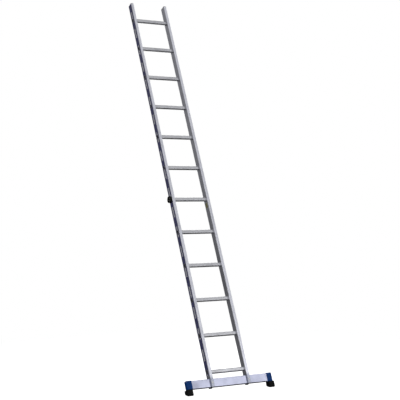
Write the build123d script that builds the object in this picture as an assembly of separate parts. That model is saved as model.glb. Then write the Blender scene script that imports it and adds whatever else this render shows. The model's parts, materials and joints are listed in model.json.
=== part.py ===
from build123d import *
from math import tan, radians
import os

# Single-section aluminium leaning ladder with a stabiliser bar.
#
# Row frame: +X across the ladder, +Y towards the wall it leans on, +Z up.
# The origin is on the floor, midway between the two feet.
#
# Most pieces are drawn in the ladder's own upright frame, which shares the
# origin: x across, y through the ladder's depth, z along the stiles. save()
# then leans them back by LEAN about the X axis. Lengths are millimetres.

os.makedirs("parts", exist_ok=True)

# ---- driving dimensions --------------------------------------------------

LEAN = 25.2                  # stiles' angle from the vertical, degrees

OUTER_WIDTH = 335.0          # over the outer faces of the stiles
STILE_WIDTH = 24.5           # stile section, across the ladder
STILE_DEPTH = 56.0           # stile section, front to back
STILE_WALL = 1.6
STILE_RADIUS = 3.0
LADDER_TOP = 3399.0          # top of the end plugs, along the stiles

RUNG_COUNT = 12
RUNG_PITCH = 280.0
FIRST_RUNG = 158.0           # first rung's centre, along the stiles
RUNG_DEPTH = 24.0            # rung section, front to back
RUNG_HEIGHT = 30.0
RUNG_WALL = 1.4
RUNG_RADIUS = 7.5

BAR_CENTRE = 74.0            # stabiliser bar's axis, along the stiles
BAR_HEIGHT = 62.0
BAR_DEPTH = 30.0
BAR_WALL = 2.0
BAR_RADIUS = 3.0

SPAN_OVER_CAPS = 728.0       # overall length of the bar with its caps
CAP_LENGTH = 44.5
CAP_WALL = 2.5
CAP_END = 3.0                # thickness of the closed outer end
CAP_END_RADIUS = 5.0         # rounding of the cap's closed end

FOOT_LENGTH = 49.5           # rubber foot, across the ladder
FOOT_OVERHANG = 7.5          # past the cap's outer end
FOOT_DEPTH = 52.0
FOOT_SETBACK = 3.0           # the foot's middle, behind the bar's
FOOT_TOE_RADIUS = 10.0       # rounding of the sole's front and back edges

GAUGE_RUNG = 6               # the angle gauge sits on this rung's left end
GAUGE_DIAMETER = 54.0
GAUGE_THICKNESS = 18.3

# ---- sizes that follow from them -----------------------------------------

OUTER_FACE = OUTER_WIDTH / 2
INNER_FACE = OUTER_FACE - STILE_WIDTH
STILE_CENTRE = OUTER_FACE - STILE_WIDTH / 2
FRONT_FACE = STILE_DEPTH / 2                 # half depth, from the mid-plane
BAR_BOTTOM = BAR_CENTRE - BAR_HEIGHT / 2
BAR_TOP = BAR_CENTRE + BAR_HEIGHT / 2
BAR_FACE = BAR_DEPTH / 2
CAP_BOTTOM = BAR_BOTTOM - CAP_WALL
CAP_FACE = BAR_FACE + CAP_WALL
BAR_END = SPAN_OVER_CAPS / 2 - CAP_END
CAP_CENTRE = SPAN_OVER_CAPS / 2 - CAP_LENGTH / 2
FOOT_CENTRE = SPAN_OVER_CAPS / 2 + FOOT_OVERHANG - FOOT_LENGTH / 2
RUNG_HEIGHTS = [FIRST_RUNG + i * RUNG_PITCH for i in range(RUNG_COUNT)]

# ---- smaller sizes ---------------------------------------------------------

GROOVE_COUNT = 3             # fine grip grooves on each stile's front and back
GROOVE_PITCH = 5.0
GROOVE_WIDTH = 1.2
GROOVE_DEPTH = 0.4

TREAD_GROOVES = 3            # anti-slip grooves on each rung's top and bottom
TREAD_PITCH = 3.0
TREAD_WIDTH = 1.2
TREAD_DEPTH = 0.5

FLARE_RIM = 2.0              # how far a rung's flared end laps the stile
FLARE_THICKNESS = 1.2
BEAD_RIM = 1.5               # the swaged bead against the stile's inner face
BEAD_LENGTH = 2.5

TOP_FLANGE = 3.0             # end plug flange thickness
TOP_SPIGOT = 18.0
BOTTOM_FLANGE = 2.5
BOTTOM_SPIGOT = 10.0
PLUG_WALL = 1.6
STILE_BOTTOM = BAR_BOTTOM - 1.0         # the stiles end just below the bar
STILE_TOP = LADDER_TOP - TOP_FLANGE

BOLT_DIAMETER = 8.0
BOLT_HOLE = 8.4
BOLT_HEAD = 14.0
BOLT_HEAD_HEIGHT = 2.2
BOLT_OVERHANG = 3.0          # thread standing past the nut
THREAD_CHAMFER = 1.0         # on the bolt's end and the nut's faces
WASHER_DIAMETER = 16.0
WASHER_THICKNESS = 1.6
NUT_ACROSS_FLATS = 13.0
NUT_ACROSS_CORNERS = 14.7    # after the corners are turned off
NUT_HEIGHT = 8.0

RIVET_DIAMETER = 4.8
RIVET_HEAD = 9.5
RIVET_HEAD_HEIGHT = 2.0
RIVET_TAIL = 6.6
RIVET_TAIL_LENGTH = 3.0
RIVET_INSET = 14.0           # from the cap's inner edge
RIVET_X = SPAN_OVER_CAPS / 2 - CAP_LENGTH + RIVET_INSET
HEAD_ROUNDING = 0.9          # share of a fastener head's height that is rounded

TENON_LENGTH = 24.0          # the cap's peg inside the foot, across the ladder
TENON_DEPTH = 24.0
TENON_HEIGHT = 13.0
FOOT_SIDE_RADIUS = 7.0
SCREW_DIAMETER = 4.0
SCREW_HEAD = 8.0
SCREW_HEAD_HEIGHT = 3.0
SCREW_SEAT = 16.0            # head's bearing face, along the stiles
SCREW_TIP = BAR_BOTTOM - 1.5            # stops short of the bar
SCREW_RECESS = 10.0          # diameter of the recess in the sole
SOLE_GROOVE_WIDTH = 3.0
SOLE_GROOVE_DEPTH = 2.0
SOLE_GROOVE_LENGTH = 24.0
SOLE_GROOVE_OFFSETS = (-9.0, 9.0, 19.0)

BAND_WIDTH = 48.0            # printed film on the stiles' outer faces
BAND_THICKNESS = 0.25
BAND_BOTTOM = 130.0
BAND_CLEARANCE = 2.5         # the film stops this far round each rung hole

LABEL_WIDTH = 32.0           # small plain sticker on the right stile
LABEL_HEIGHT = 40.0
LABEL_THICKNESS = 0.2
LABEL_DROP = 53.0            # below the gauge rung's centre

GAUGE_ROUNDING = 1.6         # of the housing's outer rim
GAUGE_FLOOR = 3.0            # housing floor under the dial
GAUGE_CAVITY = 44.0
GAUGE_MOUTH = 47.0           # counterbore that takes the lens and bezel
GAUGE_RECESS = 1.3           # clears the rung's flared rim
GAUGE_SPIGOT = 18.0          # push fit in the rung's open end
SPIGOT_GAP = 0.1
DIAL_THICKNESS = 1.0
LENS_SEAT = 12.8             # distances from the housing's base
LENS_THICKNESS = 1.5
BEZEL_THICKNESS = 2.5
BEZEL_BORE = 41.0
PIN_DIAMETER = 2.0
PIN_ROOT = -2.0
PIN_HEAD = 4.0
PIN_HEAD_HEIGHT = 0.8
PIN_PLAY = 0.4               # between the pointer's hub and the pin's head
POINTER_BORE = 2.1
POINTER_BACK = 4.8
POINTER_HUB = 7.0
POINTER_HUB_THICKNESS = 3.6
NEEDLE_THICKNESS = 1.2
NEEDLE_LENGTH = 19.0
NEEDLE_WIDTH = 3.6
WEIGHT_RADIUS = 5.0
WEIGHT_DROP = 10.5
WEIGHT_THICKNESS = 3.0


# ---- helpers ---------------------------------------------------------------


def leaned(y, z):
    """Row-frame (Y, Z) of a point of the ladder's upright frame."""
    point = Vector(0, y, z).rotate(Axis.X, -LEAN)
    return point.Y, point.Z


def save(name, piece, upright=True):
    """Write one sub-part, leaning it first if it was drawn upright."""
    if upright:
        piece = Rot(-LEAN, 0, 0) * piece
    export_step(piece, f"parts/{name}.step")


def section(depth, height, radius, grow=0.0):
    """Rounded rectangle in the Y-Z plane, widened by grow all round."""
    outline = RectangleRounded(depth + 2 * grow, height + 2 * grow, radius + grow)
    return Plane.YZ * outline


def slab(outline, x_from, x_to, z=0.0):
    """Extrude a Y-Z outline from one x to another, lifted to height z."""
    return Pos(x_from, 0, z) * extrude(outline, x_to - x_from)


def pair(make):
    """The same piece at the left and the right end, as one group."""
    right = make()
    return Compound([mirror(right, Plane.YZ), right])


def domed_head(radius, height):
    """A low rounded head standing on the X-Y plane."""
    blank = extrude(Circle(radius), height)
    return fillet(blank.edges().group_by(Axis.Z)[-1], HEAD_ROUNDING * height)


# ---- stiles ----------------------------------------------------------------


def stile():
    """Right stile: a grooved box section pierced for rungs, bar and bolt."""
    outer = RectangleRounded(STILE_WIDTH, STILE_DEPTH, STILE_RADIUS)
    inner = RectangleRounded(
        STILE_WIDTH - 2 * STILE_WALL, STILE_DEPTH - 2 * STILE_WALL, STILE_RADIUS - STILE_WALL
    )
    profile = outer - inner
    for i in range(GROOVE_COUNT):
        x = (i - (GROOVE_COUNT - 1) / 2) * GROOVE_PITCH
        for y in (-FRONT_FACE, FRONT_FACE):
            profile -= Pos(x, y) * Rectangle(GROOVE_WIDTH, 2 * GROOVE_DEPTH)
    body = extrude(Pos(STILE_CENTRE, 0, STILE_BOTTOM) * profile, STILE_TOP - STILE_BOTTOM)

    hole = section(RUNG_DEPTH, RUNG_HEIGHT, RUNG_RADIUS)
    for height in RUNG_HEIGHTS:
        body -= slab(hole, INNER_FACE - 1, OUTER_FACE + 1, height)

    slot_height = BAR_TOP - STILE_BOTTOM
    slot = Box(2 * STILE_WIDTH, BAR_DEPTH, 2 * slot_height)
    body -= Pos(STILE_CENTRE, 0, BAR_TOP - slot_height) * slot
    drill = Rot(90, 0, 0) * Cylinder(BOLT_HOLE / 2, 2 * STILE_DEPTH)
    body -= Pos(STILE_CENTRE, 0, BAR_CENTRE) * drill
    return body


def inner_void(height):
    """The hollow of the right stile, as a solid that plugs can be cut from."""
    outline = RectangleRounded(
        STILE_WIDTH - 2 * STILE_WALL, STILE_DEPTH - 2 * STILE_WALL, STILE_RADIUS - STILE_WALL
    )
    return Pos(STILE_CENTRE, 0) * extrude(outline, height)


def top_plug():
    """Flanged plug with a hollow spigot, for the right stile's top end."""
    flange = extrude(RectangleRounded(STILE_WIDTH, STILE_DEPTH, STILE_RADIUS), TOP_FLANGE)
    flange = fillet(flange.edges().group_by(Axis.Z)[-1], TOP_FLANGE / 2)
    hollow = Pos(STILE_CENTRE, 0) * Box(
        STILE_WIDTH - 2 * (STILE_WALL + PLUG_WALL),
        STILE_DEPTH - 2 * (STILE_WALL + PLUG_WALL),
        4 * TOP_SPIGOT,
    )
    spigot = Pos(0, 0, -TOP_SPIGOT) * inner_void(TOP_SPIGOT) - hollow
    return Pos(0, 0, STILE_TOP) * (Pos(STILE_CENTRE, 0) * flange + spigot)


def bottom_plugs():
    """The two small plugs that close the right stile's forked bottom end."""
    foot_of_stile = Pos(STILE_CENTRE, 0, -BOTTOM_FLANGE) * extrude(
        RectangleRounded(STILE_WIDTH, STILE_DEPTH, STILE_RADIUS), BOTTOM_FLANGE
    )
    blank = foot_of_stile + inner_void(BOTTOM_SPIGOT)
    middle = Pos(STILE_CENTRE, 0) * Box(2 * STILE_WIDTH, BAR_DEPTH, 4 * BOTTOM_SPIGOT)
    return Pos(0, 0, STILE_BOTTOM) * (blank - middle)


def band():
    """Printed film on the right stile's outer face, pierced at each rung."""
    height = STILE_TOP - BAND_BOTTOM
    film = Box(BAND_THICKNESS, BAND_WIDTH, height)
    film = Pos(OUTER_FACE + BAND_THICKNESS / 2, 0, BAND_BOTTOM + height / 2) * film
    cutout = section(RUNG_DEPTH, RUNG_HEIGHT, RUNG_RADIUS, BAND_CLEARANCE)
    for centre in RUNG_HEIGHTS:
        film -= slab(cutout, OUTER_FACE - 1, OUTER_FACE + 1, centre)
    return film


# ---- rungs -----------------------------------------------------------------


def rung(height):
    """Hollow ribbed rung, beaded inside the stiles and flared outside them."""
    outline = section(RUNG_DEPTH, RUNG_HEIGHT, RUNG_RADIUS)
    bore = section(RUNG_DEPTH, RUNG_HEIGHT, RUNG_RADIUS, -RUNG_WALL)
    tube = slab(outline, -OUTER_FACE, OUTER_FACE)
    groove = Box(4 * OUTER_FACE, TREAD_WIDTH, 2 * TREAD_DEPTH)
    for i in range(TREAD_GROOVES):
        y = (i - (TREAD_GROOVES - 1) / 2) * TREAD_PITCH
        for z in (-RUNG_HEIGHT / 2, RUNG_HEIGHT / 2):
            tube -= Pos(0, y, z) * groove

    flare = section(RUNG_DEPTH, RUNG_HEIGHT, RUNG_RADIUS, FLARE_RIM)
    rim = slab(flare, OUTER_FACE, OUTER_FACE + FLARE_THICKNESS)
    rim = fillet(rim.edges().group_by(Axis.X)[-1], FLARE_THICKNESS / 2)
    collar = section(RUNG_DEPTH, RUNG_HEIGHT, RUNG_RADIUS, BEAD_RIM)
    bead = slab(collar, INNER_FACE - BEAD_LENGTH, INNER_FACE)
    bead = fillet(bead.edges().group_by(Axis.X)[0], BEAD_RIM / 2)
    right_end = rim + bead
    body = tube + right_end + mirror(right_end, Plane.YZ)
    body -= slab(bore, -2 * OUTER_FACE, 2 * OUTER_FACE)
    return Pos(0, 0, height) * body


# ---- stabiliser bar --------------------------------------------------------


def bar():
    """Rectangular tube through both stiles, drilled for bolts and rivets."""
    outline = section(BAR_DEPTH, BAR_HEIGHT, BAR_RADIUS)
    bore = section(BAR_DEPTH, BAR_HEIGHT, BAR_RADIUS, -BAR_WALL)
    body = slab(outline - bore, -BAR_END, BAR_END, BAR_CENTRE)
    drill = Rot(90, 0, 0) * Cylinder(BOLT_HOLE / 2, 2 * BAR_DEPTH)
    rivet_drill = Rot(90, 0, 0) * Cylinder(RIVET_DIAMETER / 2, BAR_DEPTH)
    for side in (-1, 1):
        body -= Pos(side * STILE_CENTRE, 0, BAR_CENTRE) * drill
        body -= Pos(side * RIVET_X, BAR_DEPTH / 2, BAR_CENTRE) * rivet_drill
    return body


def bar_cap():
    """Right cap: a sleeve over the bar's end with a peg for the foot."""
    sleeve = section(BAR_DEPTH, BAR_HEIGHT, BAR_RADIUS, CAP_WALL)
    bore = section(BAR_DEPTH, BAR_HEIGHT, BAR_RADIUS)
    inner_end = SPAN_OVER_CAPS / 2 - CAP_LENGTH
    body = slab(sleeve, inner_end, SPAN_OVER_CAPS / 2, BAR_CENTRE)
    body = fillet(body.edges().group_by(Axis.X)[-1], CAP_END_RADIUS)
    body -= slab(bore, inner_end, BAR_END, BAR_CENTRE)
    peg = Box(TENON_LENGTH, TENON_DEPTH, TENON_HEIGHT + CAP_WALL)
    peg_top = CAP_BOTTOM + CAP_WALL
    body += Pos(CAP_CENTRE, 0, peg_top - (TENON_HEIGHT + CAP_WALL) / 2) * peg
    pilot_length = SCREW_TIP - SCREW_SEAT
    pilot = Cylinder(SCREW_DIAMETER / 2, pilot_length)
    body -= Pos(CAP_CENTRE, 0, SCREW_SEAT + pilot_length / 2) * pilot
    rivet_drill = Rot(90, 0, 0) * Cylinder(RIVET_DIAMETER / 2, BAR_DEPTH)
    body -= Pos(RIVET_X, BAR_DEPTH / 2 + CAP_WALL, BAR_CENTRE) * rivet_drill
    return body


def foot():
    """Right rubber foot, drawn in the row frame with its sole on the floor."""
    front = FOOT_SETBACK - FOOT_DEPTH / 2
    back = FOOT_SETBACK + FOOT_DEPTH / 2
    floor_slope = tan(radians(LEAN))
    corners = (
        leaned(front, front * floor_slope),
        leaned(back, back * floor_slope),
        leaned(back, CAP_BOTTOM),
        leaned(front, CAP_BOTTOM),
    )
    outline = make_face(Polyline(*corners, close=True))
    outline = fillet(outline.vertices().sort_by(Axis.Y)[:2], FOOT_TOE_RADIUS)
    body = Pos(FOOT_CENTRE - FOOT_LENGTH / 2, 0, 0) * extrude(Plane.YZ * outline, FOOT_LENGTH)
    for end in (0, -1):
        rim = body.edges().group_by(Axis.X)[end].sort_by(Axis.Z)
        body = fillet(rim[:-1], FOOT_SIDE_RADIUS)      # all but the edge under the cap

    pocket = Box(TENON_LENGTH, TENON_DEPTH, 2 * TENON_HEIGHT)
    shank_hole = Cylinder(SCREW_DIAMETER / 2, 2 * CAP_BOTTOM)
    recess = Pos(0, 0, SCREW_SEAT - CAP_BOTTOM) * Cylinder(SCREW_RECESS / 2, 2 * CAP_BOTTOM)
    cutter = Pos(0, 0, CAP_BOTTOM) * pocket + shank_hole + recess
    body -= Rot(-LEAN, 0, 0) * Pos(CAP_CENTRE, 0, 0) * cutter

    groove = extrude(SlotOverall(SOLE_GROOVE_LENGTH, SOLE_GROOVE_WIDTH), SOLE_GROOVE_DEPTH)
    for y in SOLE_GROOVE_OFFSETS:
        body -= Pos(FOOT_CENTRE, y, 0) * groove
    return body


# ---- fasteners -------------------------------------------------------------


def bar_bolt():
    """Round-head bolt from the front, through the right stile and the bar."""
    end = FRONT_FACE + WASHER_THICKNESS + NUT_HEIGHT + BOLT_OVERHANG
    length = FRONT_FACE + end
    shank = Pos(0, 0, -length / 2) * Cylinder(BOLT_DIAMETER / 2, length)
    shank = chamfer(shank.edges().group_by(Axis.Z)[0], THREAD_CHAMFER)
    bolt = domed_head(BOLT_HEAD / 2, BOLT_HEAD_HEIGHT) + shank
    return Pos(STILE_CENTRE, -FRONT_FACE, BAR_CENTRE) * Rot(90, 0, 0) * bolt


def bar_washer():
    """Plain washer behind the right stile."""
    disc = Cylinder(WASHER_DIAMETER / 2, WASHER_THICKNESS)
    disc -= Cylinder(BOLT_HOLE / 2, 2 * WASHER_THICKNESS)
    y = FRONT_FACE + WASHER_THICKNESS / 2
    return Pos(STILE_CENTRE, y, BAR_CENTRE) * Rot(90, 0, 0) * disc


def bar_nut():
    """Hexagon nut on the right washer, with its corners turned off."""
    outline = RegularPolygon(NUT_ACROSS_FLATS / 2, 6, major_radius=False)
    hexagon = extrude(outline, NUT_HEIGHT / 2, both=True)
    blank = Cylinder(NUT_ACROSS_CORNERS / 2, NUT_HEIGHT)
    blank = chamfer(blank.edges().filter_by(GeomType.CIRCLE), THREAD_CHAMFER)
    nut = (hexagon & blank) - Cylinder(BOLT_DIAMETER / 2, 2 * NUT_HEIGHT)
    y = FRONT_FACE + WASHER_THICKNESS + NUT_HEIGHT / 2
    return Pos(STILE_CENTRE, y, BAR_CENTRE) * Rot(90, 0, 0) * nut


def cap_rivet():
    """Blind rivet through the back of the right cap and the bar."""
    grip = CAP_WALL + BAR_WALL
    shank = Pos(0, 0, -grip / 2) * Cylinder(RIVET_DIAMETER / 2, grip)
    tail = Pos(0, 0, -grip - RIVET_TAIL_LENGTH / 2) * Cylinder(RIVET_TAIL / 2, RIVET_TAIL_LENGTH)
    rivet = domed_head(RIVET_HEAD / 2, RIVET_HEAD_HEIGHT) + shank + tail
    return Pos(RIVET_X, CAP_FACE, BAR_CENTRE) * Rot(-90, 0, 0) * rivet


def foot_screw():
    """Screw up through the right sole's recess into the cap's peg."""
    length = SCREW_TIP - SCREW_SEAT
    shank = Pos(0, 0, length / 2) * Cylinder(SCREW_DIAMETER / 2, length)
    head = Rot(180, 0, 0) * domed_head(SCREW_HEAD / 2, SCREW_HEAD_HEIGHT)
    return Pos(CAP_CENTRE, 0, SCREW_SEAT) * (head + shank)


# ---- angle gauge -----------------------------------------------------------
# Drawn with its axis along +Z, its base on the X-Y plane and its local +X
# along the stile, then turned to stand out of the left stile's band.

GAUGE_HEIGHT = FIRST_RUNG + (GAUGE_RUNG - 1) * RUNG_PITCH
GAUGE_BASE = OUTER_FACE + BAND_THICKNESS
GAUGE_PLACE = Pos(-GAUGE_BASE, 0, GAUGE_HEIGHT) * Rot(0, -90, 0)


def gauge_housing():
    """Round cup with a spigot that pushes into the rung's open end."""
    body = extrude(Circle(GAUGE_DIAMETER / 2), GAUGE_THICKNESS)
    body = fillet(body.edges().group_by(Axis.Z)[-1], GAUGE_ROUNDING)
    body -= Pos(0, 0, GAUGE_FLOOR) * extrude(Circle(GAUGE_CAVITY / 2), GAUGE_THICKNESS)
    body -= Pos(0, 0, LENS_SEAT) * extrude(Circle(GAUGE_MOUTH / 2), GAUGE_THICKNESS)
    rim = RectangleRounded(
        RUNG_HEIGHT + 2 * BAND_CLEARANCE, RUNG_DEPTH + 2 * BAND_CLEARANCE, RUNG_RADIUS + BAND_CLEARANCE
    )
    body -= extrude(rim, GAUGE_RECESS)
    gap = RUNG_WALL + SPIGOT_GAP
    plug = RectangleRounded(RUNG_HEIGHT - 2 * gap, RUNG_DEPTH - 2 * gap, RUNG_RADIUS - gap)
    hollow = RectangleRounded(RUNG_HEIGHT - 4 * gap, RUNG_DEPTH - 4 * gap, RUNG_RADIUS - 2 * gap)
    spigot = Pos(0, 0, -GAUGE_SPIGOT) * extrude(plug, GAUGE_SPIGOT + GAUGE_RECESS)
    spigot -= Pos(0, 0, -GAUGE_SPIGOT) * extrude(hollow, GAUGE_SPIGOT + 2 * PIN_ROOT)
    body += spigot
    pin_hole = extrude(Circle(PIN_DIAMETER / 2), GAUGE_FLOOR - PIN_ROOT)
    return body - Pos(0, 0, PIN_ROOT) * pin_hole


def gauge_dial():
    """Thin disc on the housing's floor."""
    disc = Circle(GAUGE_CAVITY / 2) - Circle(PIN_DIAMETER / 2)
    return Pos(0, 0, GAUGE_FLOOR) * extrude(disc, DIAL_THICKNESS)


def gauge_pin():
    """Fixed pin that the pointer hangs on, with a head to keep it."""
    head_seat = POINTER_BACK + POINTER_HUB_THICKNESS + PIN_PLAY
    shank = Pos(0, 0, PIN_ROOT) * extrude(Circle(PIN_DIAMETER / 2), head_seat - PIN_ROOT)
    head = Pos(0, 0, head_seat) * extrude(Circle(PIN_HEAD / 2), PIN_HEAD_HEIGHT)
    return shank + head


def gauge_lens():
    """Clear disc over the dial."""
    return Pos(0, 0, LENS_SEAT) * extrude(Circle(GAUGE_MOUTH / 2), LENS_THICKNESS)


def gauge_bezel():
    """Ring that snaps into the housing's mouth and holds the lens."""
    ring = extrude(Circle(GAUGE_MOUTH / 2) - Circle(BEZEL_BORE / 2), BEZEL_THICKNESS)
    bore_edge = ring.edges().group_by(Axis.Z)[-1].sort_by(SortBy.LENGTH)[0]
    ring = chamfer(bore_edge, BEZEL_THICKNESS / 2)
    return Pos(0, 0, LENS_SEAT + LENS_THICKNESS) * ring


def gauge_pointer():
    """Pendulum: hub, needle and weight, hanging towards local -X."""
    tip = (-NEEDLE_LENGTH, 0)
    shoulder = -NEEDLE_LENGTH + NEEDLE_WIDTH
    half = NEEDLE_WIDTH / 2
    corners = ((0, half), (shoulder, half), tip, (shoulder, -half), (0, -half))
    blade = make_face(Polyline(*corners, close=True))
    needle = extrude(blade, NEEDLE_THICKNESS)
    weight = Pos(-WEIGHT_DROP, 0) * extrude(Circle(WEIGHT_RADIUS), WEIGHT_THICKNESS)
    weight = fillet(weight.edges().group_by(Axis.Z)[-1], WEIGHT_THICKNESS / 4)
    hub = extrude(Circle(POINTER_HUB / 2), POINTER_HUB_THICKNESS)
    bore = extrude(Circle(POINTER_BORE / 2), POINTER_HUB_THICKNESS)
    return Pos(0, 0, POINTER_BACK) * (needle + weight + hub - bore)


def hanging(piece):
    """Turn a gauge piece so that it hangs plumb once the ladder leans."""
    return GAUGE_PLACE * Rot(0, 0, -LEAN) * piece


def label():
    """Small plain sticker on the right stile's inner face."""
    patch = Box(LABEL_THICKNESS, LABEL_WIDTH, LABEL_HEIGHT)
    return Pos(INNER_FACE - LABEL_THICKNESS / 2, 0, GAUGE_HEIGHT - LABEL_DROP) * patch


# ---- write every sub-part --------------------------------------------------

save("right_stile", stile())
save("left_stile", mirror(stile(), Plane.YZ))
for number, rung_height in enumerate(RUNG_HEIGHTS, start=1):
    save(f"rung_{number:02d}", rung(rung_height))
save("stabiliser_bar", bar())

for name, make_piece in (
    ("bar_cap", bar_cap),
    ("top_plug", top_plug),
    ("bottom_plugs", bottom_plugs),
    ("band", band),
):
    save(f"right_{name}", make_piece())
    save(f"left_{name}", mirror(make_piece(), Plane.YZ))
save("right_foot", foot(), upright=False)
save("left_foot", mirror(foot(), Plane.YZ), upright=False)

save("bar_bolts", pair(bar_bolt))
save("bar_washers", pair(bar_washer))
save("bar_nuts", pair(bar_nut))
save("cap_rivets", pair(cap_rivet))
save("foot_screws", pair(foot_screw))
save("right_label", label())

save("gauge_housing", GAUGE_PLACE * gauge_housing())
save("gauge_dial", GAUGE_PLACE * gauge_dial())
save("gauge_pin", GAUGE_PLACE * gauge_pin())
save("gauge_lens", GAUGE_PLACE * gauge_lens())
save("gauge_bezel", GAUGE_PLACE * gauge_bezel())
save("gauge_pointer", hanging(gauge_pointer()))
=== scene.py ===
import json
import math

import bmesh
import bpy
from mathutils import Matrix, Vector


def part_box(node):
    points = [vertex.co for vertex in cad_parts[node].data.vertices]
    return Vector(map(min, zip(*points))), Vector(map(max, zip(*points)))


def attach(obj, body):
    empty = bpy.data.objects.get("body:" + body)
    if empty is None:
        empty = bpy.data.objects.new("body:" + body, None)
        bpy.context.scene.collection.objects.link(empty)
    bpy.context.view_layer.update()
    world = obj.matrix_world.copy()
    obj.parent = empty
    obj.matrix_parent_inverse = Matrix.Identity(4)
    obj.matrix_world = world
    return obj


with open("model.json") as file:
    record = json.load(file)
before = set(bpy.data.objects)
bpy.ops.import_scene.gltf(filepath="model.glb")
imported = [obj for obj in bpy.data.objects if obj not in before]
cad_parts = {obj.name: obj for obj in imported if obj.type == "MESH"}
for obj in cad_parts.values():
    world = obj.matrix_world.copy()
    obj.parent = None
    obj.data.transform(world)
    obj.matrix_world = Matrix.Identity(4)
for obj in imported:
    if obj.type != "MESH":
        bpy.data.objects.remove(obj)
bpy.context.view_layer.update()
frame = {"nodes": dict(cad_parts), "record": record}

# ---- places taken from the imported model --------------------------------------

MOUNTS = {mount["name"]: mount for mount in frame["record"]["mounts"]}
STILE_AXIS = Vector(MOUNTS["top_rung_hook"]["axis"]).normalized()
LEAN = math.atan2(STILE_AXIS.y, STILE_AXIS.z)
MM = 0.001

# ---- camera ------------------------------------------------------------------

CAMERA_PLACE = Vector((-3.620, -6.213, 1.467))     # eye height, left of the ladder
CAMERA_TURN = math.radians(28.377)                 # to the right of +Y
CAMERA_TILT = math.radians(-0.447)                 # below the horizon
CAMERA_LENS = 87.8                                 # millimetres on a 36 mm sensor
CAMERA_REACH = 200                                 # metres

# ---- light and floor ---------------------------------------------------------

AMBIENT_ABOVE = 0.38
AMBIENT_BELOW = 0.14
HORIZON = (-0.3, 0.5)          # the dome goes from its lower to its upper strength between these
FLOOR_RADIUS = 30.0
FLOOR_SEGMENTS = 96
FLOOR_CLEAR = (1.2, 3.2)       # the floor fades from lit to plain white between these
FLOOR_ALBEDO = (0.92, 0.95)    # lowest and highest of a faint mottle
FLOOR_MOTTLE = 3.0             # noise scale, per metre
FLOOR_GLOW = 0.80
FLOOR_BOUNCE = 0.16            # how much of the light the floor sends back up

WHITE = (1.0, 1.0, 1.0)
WARM = (1.0, 0.985, 0.94)
LIGHTS = (                     # name, place, target, size, watts, tint
    ("key", (2.9, -2.8, 5.4), (0.0, 0.7, 1.5), (5.0, 8.0), 60, WHITE),
    ("front_low", (2.9, -5.2, 2.6), (0.0, 0.1, 0.4), (3.0, 2.4), 30, WHITE),
    ("left_fill", (-5.5, -2.6, 3.6), (0.0, 0.6, 1.4), (4.0, 5.0), 80, WARM),
    ("back_fill", (3.2, 6.4, 3.4), (0.0, 0.8, 1.3), (5.0, 5.0), 240, WHITE),
)


# ---- node helpers ------------------------------------------------------------

COLOUR_MIX = (6, 7, 2)         # a Mix node's colour inputs A and B, and its colour output
NUMBER_MIX = (2, 3, 0)         # the same for numbers
EDGE_TURN = (0.02, 0.16)       # 1 - cosine of the bevelled normal's turn: edge begins, edge is full
BEVEL_SAMPLES = 6


def rgb(red, green, blue):
    return (red, green, blue, 1.0)


def grey(value):
    return rgb(value, value, value)


def scaled(colour, factor):
    return tuple(factor * channel for channel in colour[:3]) + (1.0,)


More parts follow.
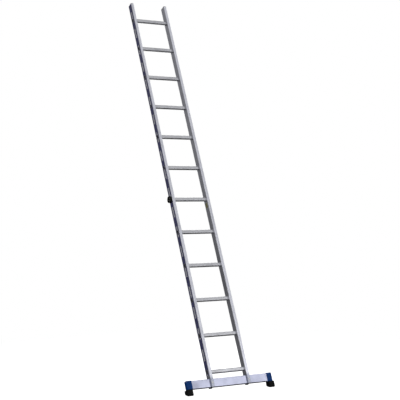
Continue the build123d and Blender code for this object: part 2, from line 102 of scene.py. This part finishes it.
class Shader:
    """A material's node tree, with short calls for the nodes used here."""

    def __init__(self, name):
        self.material = bpy.data.materials.new(name)
        self.material.use_nodes = True
        self.tree = self.material.node_tree
        self.tree.nodes.clear()
        self.out = self.tree.nodes.new("ShaderNodeOutputMaterial")

    def node(self, kind, **settings):
        made = self.tree.nodes.new(kind)
        for key, value in settings.items():
            setattr(made, key, value)
        return made

    def feed(self, socket, value):
        if isinstance(value, bpy.types.NodeSocket):
            self.tree.links.new(value, socket)
        elif value is not None:
            socket.default_value = value

    def math(self, operation, a, b=None, c=None):
        made = self.node("ShaderNodeMath", operation=operation)
        for socket, value in zip(made.inputs, (a, b, c)):
            self.feed(socket, value)
        return made.outputs[0]

    def between(self, kind, sockets, factor, a, b):
        made = self.node("ShaderNodeMix", data_type=kind)
        from_a, from_b, result = sockets
        self.feed(made.inputs["Factor"], factor)
        self.feed(made.inputs[from_a], a)
        self.feed(made.inputs[from_b], b)
        return made.outputs[result]

    def mix(self, factor, a, b):
        """A colour between a and b."""
        return self.between("RGBA", COLOUR_MIX, factor, a, b)

    def blend(self, factor, a, b):
        """A number between a and b."""
        return self.between("FLOAT", NUMBER_MIX, factor, a, b)

    def step(self, value, low=0.3, high=0.7):
        """0 below low, 1 above high, smooth between."""
        made = self.node("ShaderNodeMapRange", interpolation_type="SMOOTHSTEP")
        self.feed(made.inputs["Value"], value)
        self.feed(made.inputs["From Min"], low)
        self.feed(made.inputs["From Max"], high)
        return made.outputs["Result"]

    def place(self, lean=0.0, scale=(1, 1, 1)):
        """Object coordinates in metres, turned upright by the lean, then stretched."""
        coordinates = self.node("ShaderNodeTexCoord").outputs["Object"]
        turned = self.node("ShaderNodeVectorRotate", rotation_type="X_AXIS")
        self.feed(turned.inputs["Vector"], coordinates)
        self.feed(turned.inputs["Angle"], lean)
        stretched = self.node("ShaderNodeVectorMath", operation="MULTIPLY")
        self.feed(stretched.inputs[0], turned.outputs[0])
        self.feed(stretched.inputs[1], scale)
        return stretched.outputs[0]

    def axes(self, vector):
        """A vector's X, Y and Z."""
        made = self.node("ShaderNodeSeparateXYZ")
        self.feed(made.inputs[0], vector)
        return made.outputs

    def noise(self, place, scale, detail, roughness):
        made = self.node("ShaderNodeTexNoise")
        self.feed(made.inputs["Vector"], place)
        self.feed(made.inputs["Scale"], scale)
        self.feed(made.inputs["Detail"], detail)
        self.feed(made.inputs["Roughness"], roughness)
        return made.outputs["Fac"]

    def cells(self, place, scale):
        made = self.node("ShaderNodeTexVoronoi")
        self.feed(made.inputs["Vector"], place)
        self.feed(made.inputs["Scale"], scale)
        return made.outputs["Distance"]

    def edges(self, radius):
        """Near 1 at edges and corners, 0 on flat faces."""
        rounded = self.node("ShaderNodeBevel", samples=BEVEL_SAMPLES)
        self.feed(rounded.inputs["Radius"], radius)
        flat = self.node("ShaderNodeNewGeometry").outputs["Normal"]
        dot = self.node("ShaderNodeVectorMath", operation="DOT_PRODUCT")
        self.feed(dot.inputs[0], rounded.outputs[0])
        self.feed(dot.inputs[1], flat)
        return self.step(self.math("SUBTRACT", 1.0, dot.outputs["Value"]), *EDGE_TURN)

    def bump(self, height, distance, strength, under=None):
        made = self.node("ShaderNodeBump")
        self.feed(made.inputs["Height"], height)
        self.feed(made.inputs["Distance"], distance)
        self.feed(made.inputs["Strength"], strength)
        if under is not None:
            self.feed(made.inputs["Normal"], under)
        return made.outputs[0]

    def finish(self, colour, roughness, normal=None, **sockets):
        shader = self.node("ShaderNodeBsdfPrincipled")
        self.feed(shader.inputs["Base Color"], colour)
        self.feed(shader.inputs["Roughness"], roughness)
        if normal is not None:
            self.feed(shader.inputs["Normal"], normal)
        for name, value in sockets.items():
            shader.inputs[name.replace("_", " ")].default_value = value
        self.tree.links.new(shader.outputs[0], self.out.inputs["Surface"])
        return self.material


# ---- materials ---------------------------------------------------------------
# Noise scales are per metre. Depths are in metres.

STILE_LIGHT = rgb(0.79, 0.80, 0.88)
STILE_DARK = rgb(0.69, 0.70, 0.78)
STILE_BAR_SHADE = rgb(0.43, 0.45, 0.54)        # painted shade where the bar crosses the stile
STILE_BAR_SHADE_FADE = (100 * MM, 128 * MM)    # along the stile, from the floor
RUNG_LIGHT = rgb(0.605, 0.610, 0.645)
RUNG_DARK = rgb(0.525, 0.530, 0.565)
BAR_LIGHT = rgb(0.58, 0.60, 0.755)
BAR_DARK = rgb(0.52, 0.54, 0.69)
METAL_BRIGHT = rgb(0.93, 0.94, 0.95)     # rubbed edges
ALONG_STILE = (1, 1, 0.012)              # stretch of the die lines
ALONG_RUNG = (0.02, 1, 1)
ALONG_BAR = (0.015, 1, 1)
NO_STRETCH = (1, 1, 1)

BLUE = rgb(0.0, 0.052, 0.250)
BLUE_WORN = rgb(0.02, 0.14, 0.42)
BLACK = rgb(0.012, 0.012, 0.013)
BLACK_WORN = grey(0.09)
RUBBER_LOW = rgb(0.003, 0.003, 0.004)
RUBBER_HIGH = rgb(0.008, 0.008, 0.009)
RUBBER_DUST = rgb(0.16, 0.155, 0.15)
RUBBER_WORN = grey(0.10)

NAVY_LOW = rgb(0.068, 0.070, 0.200)
NAVY_HIGH = rgb(0.100, 0.103, 0.262)
PRINT_LOW = rgb(0.86, 0.87, 0.90)
PRINT_HIGH = rgb(0.93, 0.94, 0.96)
FILM_SCRATCH = rgb(0.42, 0.43, 0.47)
LABEL_LOW = rgb(0.30, 0.29, 0.15)
LABEL_HIGH = rgb(0.38, 0.37, 0.21)

ZINC_LOW = rgb(0.50, 0.50, 0.49)
ZINC_HIGH = rgb(0.66, 0.66, 0.67)
DIAL_LOW = rgb(0.014, 0.014, 0.016)
DIAL_HIGH = rgb(0.030, 0.030, 0.033)
POINTER_LOW = rgb(0.52, 0.52, 0.48)
POINTER_HIGH = rgb(0.64, 0.64, 0.59)
MARKS_LOW = rgb(0.26, 0.26, 0.25)
MARKS_HIGH = rgb(0.34, 0.34, 0.33)
LENS_TINT = rgb(0.96, 0.97, 0.98)


def extruded_aluminium(name, stretch, light, dark, lean=LEAN, roughness=0.34, bar_shade=None):
    """Mill-finish extrusion: fine die lines along one axis, dull patches, scuffs and bright edges.

    Where a shade colour is given, the colour turns to it towards the floor: painted shade where the
    bar crosses the stile.
    """
    look = Shader(name)
    fine = look.noise(look.place(lean, stretch), scale=900.0, detail=3.0, roughness=0.6)
    broad = look.noise(look.place(lean, stretch), scale=160.0, detail=2.0, roughness=0.5)
    cloud = look.noise(look.place(lean), scale=9.0, detail=4.0, roughness=0.6)
    speck = look.noise(look.place(lean), scale=420.0, detail=2.0, roughness=0.7)
    lines = look.blend(0.4, fine, broad)
    colour = look.mix(look.step(lines, low=0.34, high=0.66), dark, light)
    dull = look.math("MULTIPLY", look.step(cloud, low=0.52, high=0.72), 0.35)
    colour = look.mix(dull, colour, scaled(dark, 0.80))
    edge = look.math("MULTIPLY", look.edges(1.2 * MM), look.step(speck, low=0.30, high=0.62))
    colour = look.mix(look.math("MULTIPLY", edge, 0.6), colour, METAL_BRIGHT)
    # painted shade: the stile darkens towards the floor, where the bar crosses it
    if bar_shade is not None:
        along = look.axes(look.place(lean))["Z"]
        low = look.math("SUBTRACT", 1.0, look.step(along, *STILE_BAR_SHADE_FADE))
        colour = look.mix(low, colour, bar_shade)
    rough = look.blend(look.step(cloud, low=0.35, high=0.75), roughness - 0.05, roughness + 0.09)
    rough = look.math("ADD", rough, look.math("MULTIPLY", look.math("SUBTRACT", lines, 0.5), 0.18))
    normal = look.bump(fine, distance=0.06 * MM, strength=0.5)
    normal = look.bump(broad, distance=0.12 * MM, strength=0.35, under=normal)
    return look.finish(colour, rough, normal, Metallic=0.92)


def moulded_plastic(name, colour, worn, roughness, grain=1500.0, wear=0.35):
    """Injection-moulded plastic: fine spark texture, faint flow marks, scuffed corners."""
    look = Shader(name)
    place = look.place()
    spark = look.noise(place, scale=grain, detail=3.0, roughness=0.65)
    flow = look.noise(place, scale=28.0, detail=4.0, roughness=0.6)
    pit = look.cells(place, scale=grain * 0.5)
    tone = look.mix(look.step(flow, low=0.30, high=0.72), colour, scaled(colour, 1.25))
    scuff = look.math("MULTIPLY", look.edges(1.4 * MM), look.step(spark, low=0.35, high=0.65))
    tone = look.mix(look.math("MULTIPLY", scuff, wear), tone, worn)
    rough = look.blend(look.step(flow, low=0.35, high=0.7), roughness - 0.06, roughness + 0.08)
    normal = look.bump(spark, distance=0.10 * MM, strength=0.5)
    normal = look.bump(pit, distance=0.08 * MM, strength=0.25, under=normal)
    return look.finish(tone, rough, normal, Specular_IOR_Level=0.14)


def foot_rubber():
    """Black rubber: matt, finely pitted, with thin patches of grey dust and rubbed edges."""
    look = Shader("foot_rubber")
    place = look.place()
    grain = look.noise(place, scale=1100.0, detail=4.0, roughness=0.7)
    dust = look.noise(place, scale=60.0, detail=5.0, roughness=0.65)
    base = look.mix(look.step(grain), RUBBER_LOW, RUBBER_HIGH)
    dusty = look.math("MULTIPLY", look.step(dust, low=0.55, high=0.8), 0.06)
    base = look.mix(dusty, base, RUBBER_DUST)
    rub = look.math("MULTIPLY", look.edges(1.8 * MM), 0.12)
    base = look.mix(rub, base, RUBBER_WORN)
    rough = look.blend(look.step(dust, low=0.4, high=0.75), 0.52, 0.78)
    normal = look.bump(grain, distance=0.18 * MM, strength=0.7)
    return look.finish(base, rough, normal, Specular_IOR_Level=0.14)


BAND_PERIOD = 166 * MM       # one group of printed bars to the next, along the stile
BAND_GROUP = 88 * MM         # length of a group
BAND_FIRST = 287 * MM        # first group's centre, from the floor along the stile
BAND_HEIGHT = 19 * MM        # across the stile
PRINT_PITCH = 11 * MM        # one printed bar to the next
PRINT_SHARE = 0.70           # share of the pitch that is printed
PRINT_SLANT = 0.55           # run along the stile for each unit across it


def printed_band():
    """Dark blue film with groups of plain slanted bars, cloudy and finely scratched."""
    look = Shader("navy_film")
    upright = look.axes(look.place(LEAN))
    along = upright["Z"]
    across = upright["Y"]
    group = look.math("PINGPONG", look.math("SUBTRACT", along, BAND_FIRST), BAND_PERIOD / 2)
    in_group = look.math("LESS_THAN", group, BAND_GROUP / 2)
    in_height = look.math("LESS_THAN", look.math("ABSOLUTE", across), BAND_HEIGHT / 2)
    slanted = look.math("MULTIPLY_ADD", across, PRINT_SLANT, along)
    phase = look.math("FRACT", look.math("DIVIDE", slanted, PRINT_PITCH))
    bar = look.math("LESS_THAN", phase, PRINT_SHARE)
    printed = look.math("MULTIPLY", look.math("MULTIPLY", in_group, in_height), bar)

    streak = look.noise(look.place(LEAN, (1, 1, 0.06)), scale=700.0, detail=3.0, roughness=0.6)
    cloud = look.noise(look.place(LEAN), scale=14.0, detail=4.0, roughness=0.6)
    scratch = look.noise(look.place(LEAN, (1, 0.12, 1)), scale=1400.0, detail=2.0, roughness=0.6)
    navy = look.mix(look.step(cloud), NAVY_LOW, NAVY_HIGH)
    pale = look.mix(look.step(streak), PRINT_LOW, PRINT_HIGH)
    colour = look.mix(printed, navy, pale)
    worn = look.math("MULTIPLY", look.step(scratch, low=0.66, high=0.74), 0.5)
    colour = look.mix(worn, colour, FILM_SCRATCH)
    rough = look.blend(look.step(cloud), 0.34, 0.50)
    normal = look.bump(streak, distance=0.04 * MM, strength=0.4)
    return look.finish(colour, rough, normal)


def plain_label():
    """Small plain sticker: faded olive, faintly mottled."""
    look = Shader("label_film")
    mottle = look.noise(look.place(LEAN), scale=240.0, detail=4.0, roughness=0.6)
    colour = look.mix(look.step(mottle), LABEL_LOW, LABEL_HIGH)
    rough = look.blend(mottle, 0.40, 0.60)
    normal = look.bump(mottle, distance=0.05 * MM, strength=0.4)
    return look.finish(colour, rough, normal)


def plated_steel():
    """Zinc-plated fasteners: brushed grain, cloudy passivation."""
    look = Shader("zinc_steel")
    cloud = look.noise(look.place(), scale=180.0, detail=3.0, roughness=0.6)
    grain = look.noise(look.place(scale=(1, 0.2, 1)), scale=2600.0, detail=2.0, roughness=0.6)
    colour = look.mix(look.step(cloud), ZINC_LOW, ZINC_HIGH)
    rough = look.blend(look.step(cloud), 0.26, 0.42)
    normal = look.bump(grain, distance=0.05 * MM, strength=0.5)
    return look.finish(colour, rough, normal, Metallic=1.0)


def dial_print():
    """Matt black gauge dial with a fine print grain."""
    look = Shader("dial_black")
    grain = look.noise(look.place(), scale=1800.0, detail=3.0, roughness=0.6)
    colour = look.mix(grain, DIAL_LOW, DIAL_HIGH)
    rough = look.blend(grain, 0.5, 0.7)
    normal = look.bump(grain, distance=0.05 * MM, strength=0.4)
    return look.finish(colour, rough, normal)


def pale_plastic(name, low, high):
    """Pale moulded or printed plastic with a slight mottle."""
    look = Shader(name)
    mottle = look.noise(look.place(), scale=900.0, detail=3.0, roughness=0.6)
    colour = look.mix(look.step(mottle), low, high)
    rough = look.blend(mottle, 0.35, 0.55)
    normal = look.bump(mottle, distance=0.05 * MM, strength=0.4)
    return look.finish(colour, rough, normal)


def clear_lens():
    """Clear plastic window with faint wiping haze."""
    look = Shader("clear_lens")
    haze = look.noise(look.place(scale=(1, 0.3, 1)), scale=300.0, detail=3.0, roughness=0.6)
    rough = look.blend(look.step(haze, low=0.45, high=0.75), 0.05, 0.14)
    return look.finish(LENS_TINT, rough, Transmission_Weight=1.0, IOR=1.1)


def make_materials():
    """One finished material for each of the record's slots."""
    return {
        # the stile gets painted shade low down, where the bar crosses it
        "stile_aluminium": extruded_aluminium(
            "stile_aluminium", ALONG_STILE, STILE_LIGHT, STILE_DARK, bar_shade=STILE_BAR_SHADE
        ),
        "rung_aluminium": extruded_aluminium("rung_aluminium", ALONG_RUNG, RUNG_LIGHT, RUNG_DARK),
        "bar_aluminium": extruded_aluminium("bar_aluminium", ALONG_BAR, BAR_LIGHT, BAR_DARK),
        "rivet_aluminium": extruded_aluminium(
            "rivet_aluminium", NO_STRETCH, STILE_LIGHT, STILE_DARK, lean=0.0, roughness=0.3
        ),
        "blue_plastic": moulded_plastic("blue_plastic", BLUE, BLUE_WORN, roughness=0.42),
        "black_plastic": moulded_plastic("black_plastic", BLACK, BLACK_WORN, roughness=0.40),
        "foot_rubber": foot_rubber(),
        "navy_film": printed_band(),
        "label_film": plain_label(),
        "zinc_steel": plated_steel(),
        "dial_black": dial_print(),
        "pointer_pale": pale_plastic("pointer_pale", POINTER_LOW, POINTER_HIGH),
        "clear_lens": clear_lens(),
    }


def dress_nodes(materials):
    """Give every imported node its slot's finished material."""
    for entry in frame["record"]["subparts"]:
        piece = frame["nodes"][entry["node"]]
        piece.data.materials.clear()
        piece.data.materials.append(materials[entry["material_slot"]])


# ---- studio ------------------------------------------------------------------


def make_camera():
    """The photo's viewpoint."""
    data = bpy.data.cameras.new("camera")
    data.lens = CAMERA_LENS
    data.clip_end = CAMERA_REACH
    camera = bpy.data.objects.new("camera", data)
    camera.location = CAMERA_PLACE
    camera.rotation_euler = (math.pi / 2 + CAMERA_TILT, 0, -CAMERA_TURN)
    bpy.context.scene.collection.objects.link(camera)
    bpy.context.scene.camera = camera


def area_light(name, place, target, size, power, tint):
    data = bpy.data.lights.new(name, "AREA")
    data.shape = "RECTANGLE"
    data.size = size[0]
    data.size_y = size[1]
    data.energy = power
    data.color = tint
    lamp = bpy.data.objects.new(name, data)
    lamp.location = place
    lamp.rotation_euler = (Vector(target) - Vector(place)).to_track_quat("-Z", "Y").to_euler()
    bpy.context.scene.collection.objects.link(lamp)


def make_world():
    """White behind the object; a soft, dimmer dome lights it, darker below the horizon."""
    world = bpy.data.worlds.new("studio")
    world.use_nodes = True
    bpy.context.scene.world = world
    tree = world.node_tree
    tree.nodes.clear()
    direction = tree.nodes.new("ShaderNodeTexCoord")
    parts = tree.nodes.new("ShaderNodeSeparateXYZ")
    ramp = tree.nodes.new("ShaderNodeMapRange")
    ramp.inputs["From Min"].default_value = HORIZON[0]
    ramp.inputs["From Max"].default_value = HORIZON[1]
    ramp.inputs["To Min"].default_value = AMBIENT_BELOW
    ramp.inputs["To Max"].default_value = AMBIENT_ABOVE
    dome = tree.nodes.new("ShaderNodeBackground")
    white = tree.nodes.new("ShaderNodeBackground")
    white.inputs["Color"].default_value = grey(1.0)
    seen = tree.nodes.new("ShaderNodeLightPath")
    mix = tree.nodes.new("ShaderNodeMixShader")
    out = tree.nodes.new("ShaderNodeOutputWorld")
    tree.links.new(direction.outputs["Generated"], parts.inputs[0])
    tree.links.new(parts.outputs["Z"], ramp.inputs["Value"])
    tree.links.new(ramp.outputs["Result"], dome.inputs["Strength"])
    tree.links.new(seen.outputs["Is Camera Ray"], mix.inputs[0])
    tree.links.new(dome.outputs[0], mix.inputs[1])
    tree.links.new(white.outputs[0], mix.inputs[2])
    tree.links.new(mix.outputs[0], out.inputs["Surface"])


def make_floor():
    """A plain pale floor that fades to white away from the feet."""
    mesh = bpy.data.meshes.new("studio_floor")
    grid = bmesh.new()
    bmesh.ops.create_circle(grid, cap_ends=True, radius=FLOOR_RADIUS, segments=FLOOR_SEGMENTS)
    grid.to_mesh(mesh)
    grid.free()
    floor = bpy.data.objects.new("studio_floor", mesh)
    bpy.context.scene.collection.objects.link(floor)

    look = Shader("studio_floor")
    place = look.place()
    far = look.node("ShaderNodeVectorMath", operation="LENGTH")
    look.feed(far.inputs[0], place)
    fade = look.step(far.outputs["Value"], *FLOOR_CLEAR)
    lit = look.node("ShaderNodeBsdfDiffuse")
    tone = look.noise(place, scale=FLOOR_MOTTLE, detail=3.0, roughness=0.5)
    look.feed(lit.inputs["Color"], look.mix(tone, grey(FLOOR_ALBEDO[0]), grey(FLOOR_ALBEDO[1])))
    plain = look.node("ShaderNodeEmission")
    glow = look.node("ShaderNodeEmission")
    look.feed(glow.inputs["Strength"], FLOOR_GLOW)
    near = look.node("ShaderNodeAddShader")
    seen = look.node("ShaderNodeMixShader")
    look.feed(seen.inputs[0], fade)
    look.feed(near.inputs[0], lit.outputs[0])
    look.feed(near.inputs[1], glow.outputs[0])
    look.feed(seen.inputs[1], near.outputs[0])
    look.feed(seen.inputs[2], plain.outputs[0])
    bounce = look.node("ShaderNodeBsdfDiffuse")
    look.feed(bounce.inputs["Color"], grey(FLOOR_BOUNCE))
    path = look.node("ShaderNodeLightPath")
    both = look.node("ShaderNodeMixShader")
    look.feed(both.inputs[0], path.outputs["Is Camera Ray"])
    look.feed(both.inputs[1], bounce.outputs[0])
    look.feed(both.inputs[2], seen.outputs[0])
    look.feed(look.out.inputs["Surface"], both.outputs[0])
    mesh.materials.append(look.material)


# ---- print on the gauge's dial -----------------------------------------------

TICK_STEP = 5                # degrees between dial marks
TICK_LONG_EVERY = 15
TICK_OUTER = 20.0 * MM
TICK_SHORT = 2.2 * MM
TICK_LONG = 4.0 * MM
TICK_WIDTH = (0.45 * MM, 0.8 * MM)   # of a short and a long tick
TICK_HEIGHT = 0.18 * MM
SECTOR_FROM, SECTOR_TO = -12, 12     # degrees either side of plumb
SECTOR_STEP = 2
SECTOR_RADII = (12.5 * MM, 14.0 * MM)


def dial_point(centre, face, angle, radius):
    """A point on the dial: angle from straight down, seen from the left."""
    return Vector((face, centre.y + radius * math.sin(angle), centre.z - radius * math.cos(angle)))


def add_plate(mesh, corners, height):
    """A thin plate standing out towards -X from four corners on the dial."""
    rise = Vector((height, 0, 0))
    base = [mesh.verts.new(corner) for corner in corners]
    top = [mesh.verts.new(corner - rise) for corner in corners]
    mesh.faces.new(top)
    mesh.faces.new(base[::-1])
    for here in range(4):
        after = (here + 1) % 4
        mesh.faces.new((base[here], base[after], top[after], top[here]))


def make_dial_marks(material):
    """Raised print on the dial: ticks all round and an arc about the plumb line."""
    low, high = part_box("gauge_dial")
    centre = (low + high) / 2
    marks = bmesh.new()
    for degrees in range(0, 360, TICK_STEP):
        long_mark = degrees % TICK_LONG_EVERY == 0
        angle = math.radians(degrees)
        half = TICK_WIDTH[long_mark] / 2
        inner = TICK_OUTER - (TICK_LONG if long_mark else TICK_SHORT)
        corners = [dial_point(centre, low.x, angle + side * half / radius, radius)
                   for side, radius in ((-1, inner), (-1, TICK_OUTER), (1, TICK_OUTER), (1, inner))]
        add_plate(marks, corners, TICK_HEIGHT)
    for degrees in range(SECTOR_FROM, SECTOR_TO, SECTOR_STEP):
        angles = (math.radians(degrees), math.radians(degrees + SECTOR_STEP))
        corners = [dial_point(centre, low.x, angles[side], SECTOR_RADII[ring])
                   for side, ring in ((0, 0), (0, 1), (1, 1), (1, 0))]
        add_plate(marks, corners, TICK_HEIGHT)
    bmesh.ops.recalc_face_normals(marks, faces=marks.faces)
    mesh = bpy.data.meshes.new("dial_marks")
    marks.to_mesh(mesh)
    marks.free()
    mesh.materials.append(material)
    piece = bpy.data.objects.new("dial_marks", mesh)
    bpy.context.scene.collection.objects.link(piece)
    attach(piece, "ladder")


# ---- build -------------------------------------------------------------------

make_camera()
make_world()
make_floor()
for light in LIGHTS:
    area_light(*light)
dress_nodes(make_materials())
make_dial_marks(pale_plastic("dial_print", MARKS_LOW, MARKS_HIGH))
bpy.context.scene.view_settings.view_transform = "Standard"
